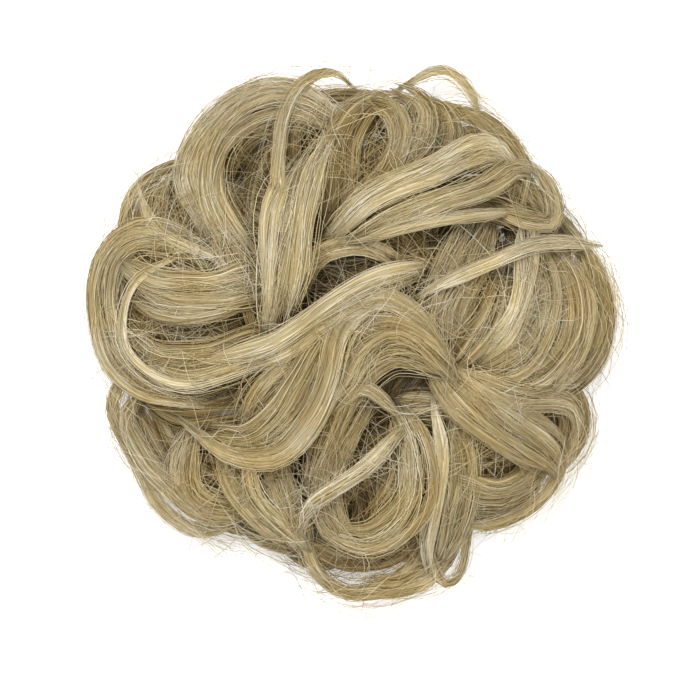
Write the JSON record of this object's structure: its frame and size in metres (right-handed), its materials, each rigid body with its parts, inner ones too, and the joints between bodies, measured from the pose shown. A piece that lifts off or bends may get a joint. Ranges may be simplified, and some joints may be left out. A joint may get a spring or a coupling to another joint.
{
  "type": "top knot hairpiece",
  "caption": "Round messy-bun hairpiece: curled synthetic locks laid over a wefted ring with an elastic band around an open hole for a ponytail.",
  "frame": {"origin": "middle of the bounding box's underside: the surface the piece lies on with its back down", "axes": "+Z out of the front of the bun, away from the head; +Y towards the top of the bun as pictured; +X to the right as pictured"},
  "size_m": [0.1504, 0.1514, 0.0501],
  "materials": {
    "hair_pale": "pale blonde synthetic hair, silky",
    "hair_golden": "golden ash blonde synthetic hair, silky",
    "hair_ash": "darker ash blonde synthetic hair, silky",
    "elastic": "woven elastic, matt"
  },
  "bodies": {
    "root": {"bottom_curl_left": "hair_pale", "bottom_curl_right": "hair_pale", "bottom_diagonal": "hair_pale", "bottom_right_inner": "hair_golden", "bottom_rim": "hair_golden", "centre_arch_inner": "hair_pale", "centre_arch_middle": "hair_pale", "centre_cross": "hair_pale", "centre_fall_left": "hair_pale", "centre_fall_right": "hair_pale", "centre_swoop_edge": "hair_pale", "centre_swoop_inner": "hair_pale", "centre_swoop_middle": "hair_pale", "centre_under_lower": "hair_ash", "centre_under_upper": "hair_ash", "crown_left_inner": "hair_pale", "crown_left_outer": "hair_golden", "crown_right_back": "hair_golden", "crown_right_first": "hair_pale", "crown_right_second": "hair_golden", "crown_rim": "hair_golden", "elastic_band": "elastic", "left_curl_lower": "hair_pale", "left_curl_outer": "hair_golden", "left_curl_upper": "hair_pale", "lower_left_fall": "hair_golden", "lower_left_rim": "hair_golden", "lower_mid_fall": "hair_golden", "lower_right_rim": "hair_golden", "pinch_right_lower": "hair_pale", "pinch_right_upper": "hair_pale", "right_cross": "hair_pale", "right_fall_second": "hair_pale", "right_fall_wide": "hair_pale", "right_net_outer": "hair_pale", "right_rim": "hair_golden", "right_second": "hair_golden", "right_sweep_lower": "hair_pale", "right_sweep_return": "hair_pale", "right_sweep_upper": "hair_pale", "shoulder_outer": "hair_golden", "top_right_tendril": "hair_golden", "top_tendril": "hair_pale", "under_bottom": "hair_golden", "under_fan_01": "hair_ash", "under_fan_02": "hair_ash", "under_fan_03": "hair_ash", "under_fan_04": "hair_ash", "under_fan_05": "hair_ash", "under_fan_06": "hair_ash", "under_fan_07": "hair_ash", "under_left": "hair_golden", "under_roll_01": "hair_ash", "under_roll_02": "hair_ash", "under_roll_03": "hair_ash", "under_roll_04": "hair_ash", "under_roll_05": "hair_ash", "under_roll_06": "hair_ash", "under_roll_07": "hair_ash", "weft_ring": "hair_ash"}
  },
  "joints": []
}
